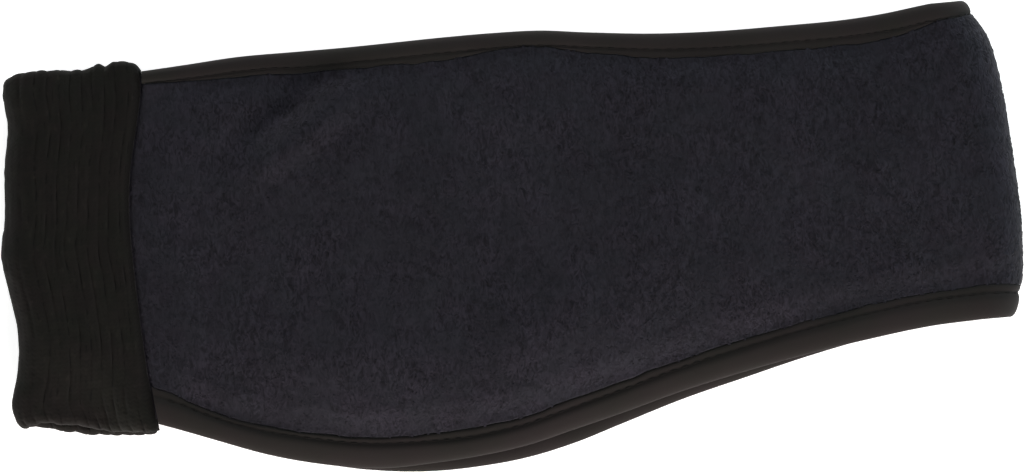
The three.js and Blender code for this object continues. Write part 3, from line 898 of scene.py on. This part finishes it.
def knit_material():
    """Rib knit on a UV of ribs along and millimetres up: V-shaped stitches in two columns a
    rib, broken painted shade in the valleys and between the columns, lighter and darker
    streaks, and a few pale fibres. The ribs open round the fold, where the painted shade fades,
    the rims have painted light, and there is painted shade at the seam, where the cloth is in its
    own shadow."""
    shade = Shade("rib_knit")
    weave = shade.weave()
    rows = shade.node("ShaderNodeSeparateXYZ", {"Vector": weave}).outputs
    rib, up = rows["X"], rows["Y"]
    in_rib = shade.math("FRACT", rib)
    from_middle = shade.math("ABSOLUTE", shade.math("SUBTRACT", in_rib, 0.5))
    valley = shade.math("SUBTRACT", 0.5, from_middle)
    breaks = shade.noise(shade.stretch(weave, (2.5, 0.32, 1)), 1.0, detail=3)
    # Painted shade in the rib valleys and between each rib's two columns, broken by noise and faded
    # where the ribs open round the fold; the same mask also bumps them in as grooves
    valley_shade = shade.times(shade.ramp(valley, 0.14, 0.02), shade.ramp(breaks, 0.5, 0.62))
    between = shade.times(shade.line(in_rib, 0.07), shade.ramp(breaks, 0.46, 0.36))
    crevice_shade = shade.math("MAXIMUM", valley_shade, between)
    crevice_shade = shade.times(crevice_shade, shade.linear(shade.value("open"), -0.75))
    fibres = shade.noise(shade.place((1, 0.4, 1)), 900, detail=2)
    streaks = shade.noise(shade.place((1, 0.15, 1)), 420, detail=2)
    # Painted light on the top rim and at the foot, where the cloth curves towards the lamps
    top_rim, foot = shade.ramp(up, 47, 53), shade.ramp(up, -31, -38)
    painted_rim_light = shade.math("MAXIMUM", shade.times(top_rim, 0.5), foot)
    tone = shade.linear(shade.ramp(fibres, 0.6, 0.76), 0.8)
    tone = shade.times(tone, shade.linear(crevice_shade, -0.72))
    tone = shade.times(tone, shade.linear(shade.ramp(streaks, 0.3, 0.7), 0.26, 0.86))
    # Painted shade at the seam
    tone = shade.times(tone, shade.linear(shade.value("seam"), -0.75))
    tone = shade.times(tone, shade.linear(painted_rim_light, 0.3))
    colour = shade.scale(shade.drift(KNIT_HUES, 130), tone)
    column = shade.math("FRACT", shade.times(rib, 2.0))
    aside = shade.math("ABSOLUTE", shade.math("SUBTRACT", column, 0.5))
    course = shade.math("ADD", shade.math("DIVIDE", up, 1.15), aside)
    loops = shade.math("SINE", shade.times(course, 2 * math.pi))
    normal = shade.bump(loops, 0.18, 0.1)
    normal = shade.bump(crevice_shade, 0.3, -0.3, normal)
    normal = shade.bump(shade.noise(shade.place(), 1300, detail=3), 0.3, 0.14, normal)
    return shade.cloth(
        colour, normal, roughness=0.95, sheen=0.05, specular=0.04, sheen_roughness=0.6
    )


def paint(piece, material):
    piece.data.materials.clear()
    piece.data.materials.append(material)


def dress(piece, material):
    paint(piece, material)
    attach(piece, "root")


def build_headband():
    fleece, outer, out, puff = make_fleece()
    dress(fleece, fleece_material())
    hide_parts("fleece_band")
    nap = nap_material()
    fold = SEAM_COLUMNS + LOWER_COLUMNS
    upper = fold + FOLD_STEPS - 1
    middle = (upper + len(outer)) // 2
    spans = [
        ("nap_forehead", 6000, fold, middle, 0.14),
        ("nap_back", 5500, middle, len(outer) - SEAM_COLUMNS, 0.12),
        ("nap_under", 5500, SEAM_COLUMNS + 1, fold, 0.1),
    ]
    on_fleece = []
    for seed, (name, count, first, last, height) in enumerate(spans, start=50):
        cloth = outer[first:last], out[first:last], puff[first:last]
        curls = make_nap(name, count, seed, cloth, height)
        dress(curls, nap)
        on_fleece.append(curls)
    tape, thread = binding_material(), thread_material()
    for name, is_top in (("top", True), ("bottom", False)):
        binding, details = make_binding(f"{name}_edge", is_top)
        dress(binding, tape)
        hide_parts(f"{name}_binding")
        stitches = make_stitches(f"{name}_stitches", is_top, details)
        dress(stitches, thread)
        on_fleece += [binding, stitches]
    knit = make_knit()
    dress(knit, knit_material())
    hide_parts("rib_knit_panel")


def build_floor():
    mesh = bpy.data.meshes.new("floor")
    half = 1.5
    corners = [(-half, -half, 0), (half, -half, 0), (half, half, 0), (-half, half, 0)]
    mesh.from_pydata(corners, [], [(0, 1, 2, 3)])
    floor = add_piece("floor", mesh)
    shade = Shade("floor")
    values = {
        "Base Color": (0.94, 0.94, 0.94, 1),
        "Emission Color": (1, 1, 1, 1),
        "Emission Strength": 0.62,
        "Roughness": 1.0,
        "Specular IOR Level": 0.0,
    }
    shade.uniform(values)
    paint(floor, shade.material)


def add_light(name, place, size, power, colour):
    """A square softbox that faces the middle of the headband."""
    light = bpy.data.lights.new(name, "AREA")
    light.size, light.energy, light.color = size, power, colour
    lamp = bpy.data.objects.new(name, light)
    bpy.context.scene.collection.objects.link(lamp)
    lamp.location = place
    x, y, z = place
    lamp.rotation_euler = (math.atan2(math.hypot(x, y), z), 0, math.atan2(x, -y))


def build_studio():
    build_floor()
    world = bpy.data.worlds.new("studio")
    world.use_nodes = True
    background = world.node_tree.nodes["Background"].inputs
    background["Color"].default_value = (0.97, 0.98, 1, 1)
    background["Strength"].default_value = 0.25
    bpy.context.scene.world = world
    add_light("front", (0.02, -0.5, 0.145), 0.27, 5.0, (1, 0.87, 0.83))
    add_light("rear", (0.1, 0.62, 0.17), 0.34, 4.1, (1, 1, 1))
    add_light("right", (0.62, 0.0, 0.18), 0.34, 2.6, (0.8, 0.97, 1))
    add_light("left", (-0.66, -0.1, 0.2), 0.38, 2.5, (0.98, 1, 0.97))
    bpy.context.scene.view_settings.view_transform = "Standard"


# The photograph is taken from straight above, with the headband turned a little in its frame.
# Its width and centre are in millimetres on the floor's plane, its turn in degrees.
PICTURE_WIDTH = 256
PICTURE_CENTRE = (0.741, 2.166)
PICTURE_TURN = -5
LENS, SENSOR = 400, 36
FOCUS_HEIGHT = 8


def build_camera():
    camera = bpy.data.cameras.new("camera")
    camera.lens, camera.sensor_width = LENS, SENSOR
    body = bpy.data.objects.new("camera", camera)
    bpy.context.scene.collection.objects.link(body)
    height = PICTURE_WIDTH * LENS / SENSOR + FOCUS_HEIGHT
    body.location = (PICTURE_CENTRE[0] * MM, PICTURE_CENTRE[1] * MM, height * MM)
    body.rotation_euler = (0, 0, math.radians(PICTURE_TURN))
    bpy.context.scene.camera = body


build_camera()
build_headband()
build_studio()
